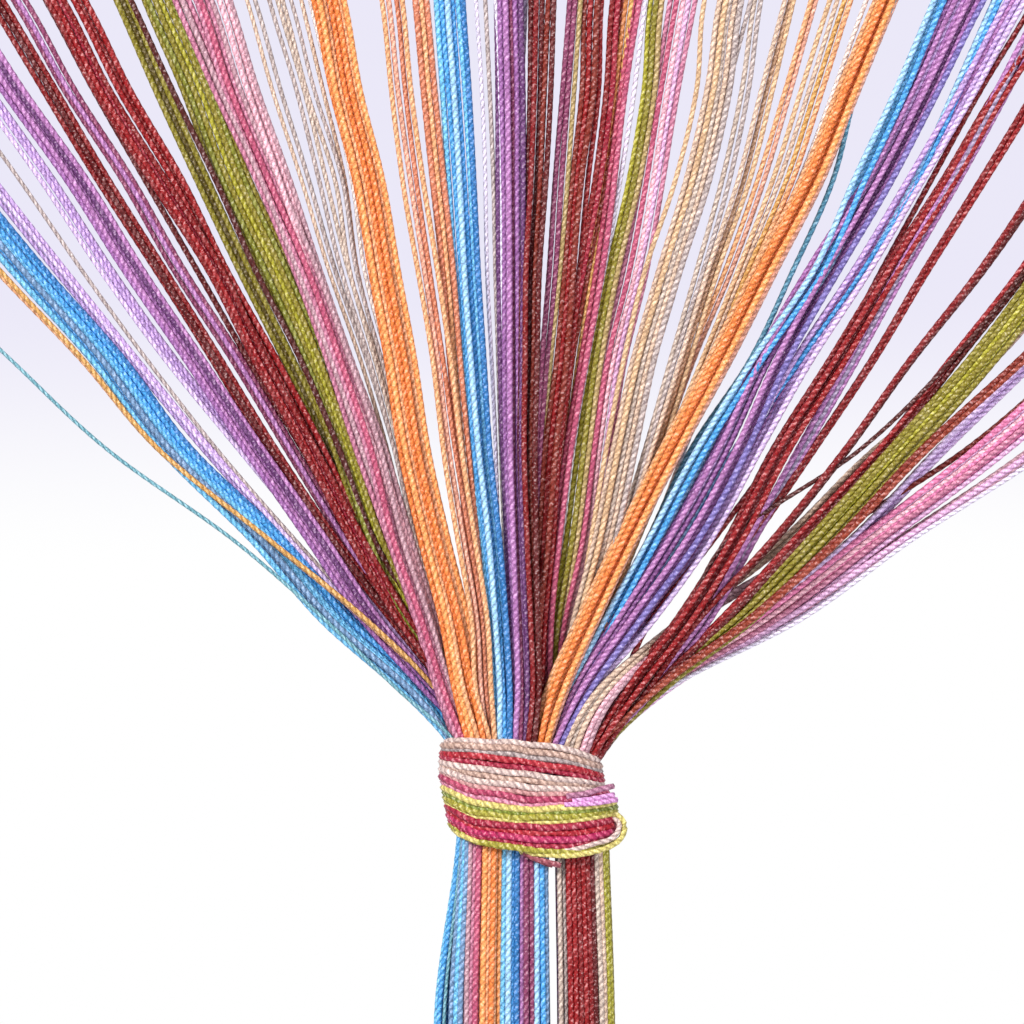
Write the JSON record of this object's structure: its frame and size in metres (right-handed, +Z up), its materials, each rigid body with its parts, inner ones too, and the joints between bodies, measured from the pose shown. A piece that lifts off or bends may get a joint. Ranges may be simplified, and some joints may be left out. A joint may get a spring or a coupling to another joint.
{
  "type": "string curtain",
  "caption": "Multicolour string curtain hung from a flat woven heading tape, its strings fanning in to a bundle held by a wound string tie and falling free below it.",
  "frame": {"origin": "middle of the heading's top edge", "axes": "+Z up along the hanging strings, +X along the heading, the face in front towards -Y"},
  "size_m": [1, 0.0236, 2.0014],
  "materials": {
    "heading_tape": "woven tape in stripes of the strings' colours, matt with a faint sheen",
    "strings": "shiny twisted polyester string in bands of blue, lilac, purple, dark red, olive, pink, beige and orange",
    "tie": "the same shiny string, wound in beige, dark red, crimson and green"
  },
  "bodies": {
    "root": {"heading": "heading_tape", "strings": "strings", "tie": "tie"}
  },
  "joints": []
}
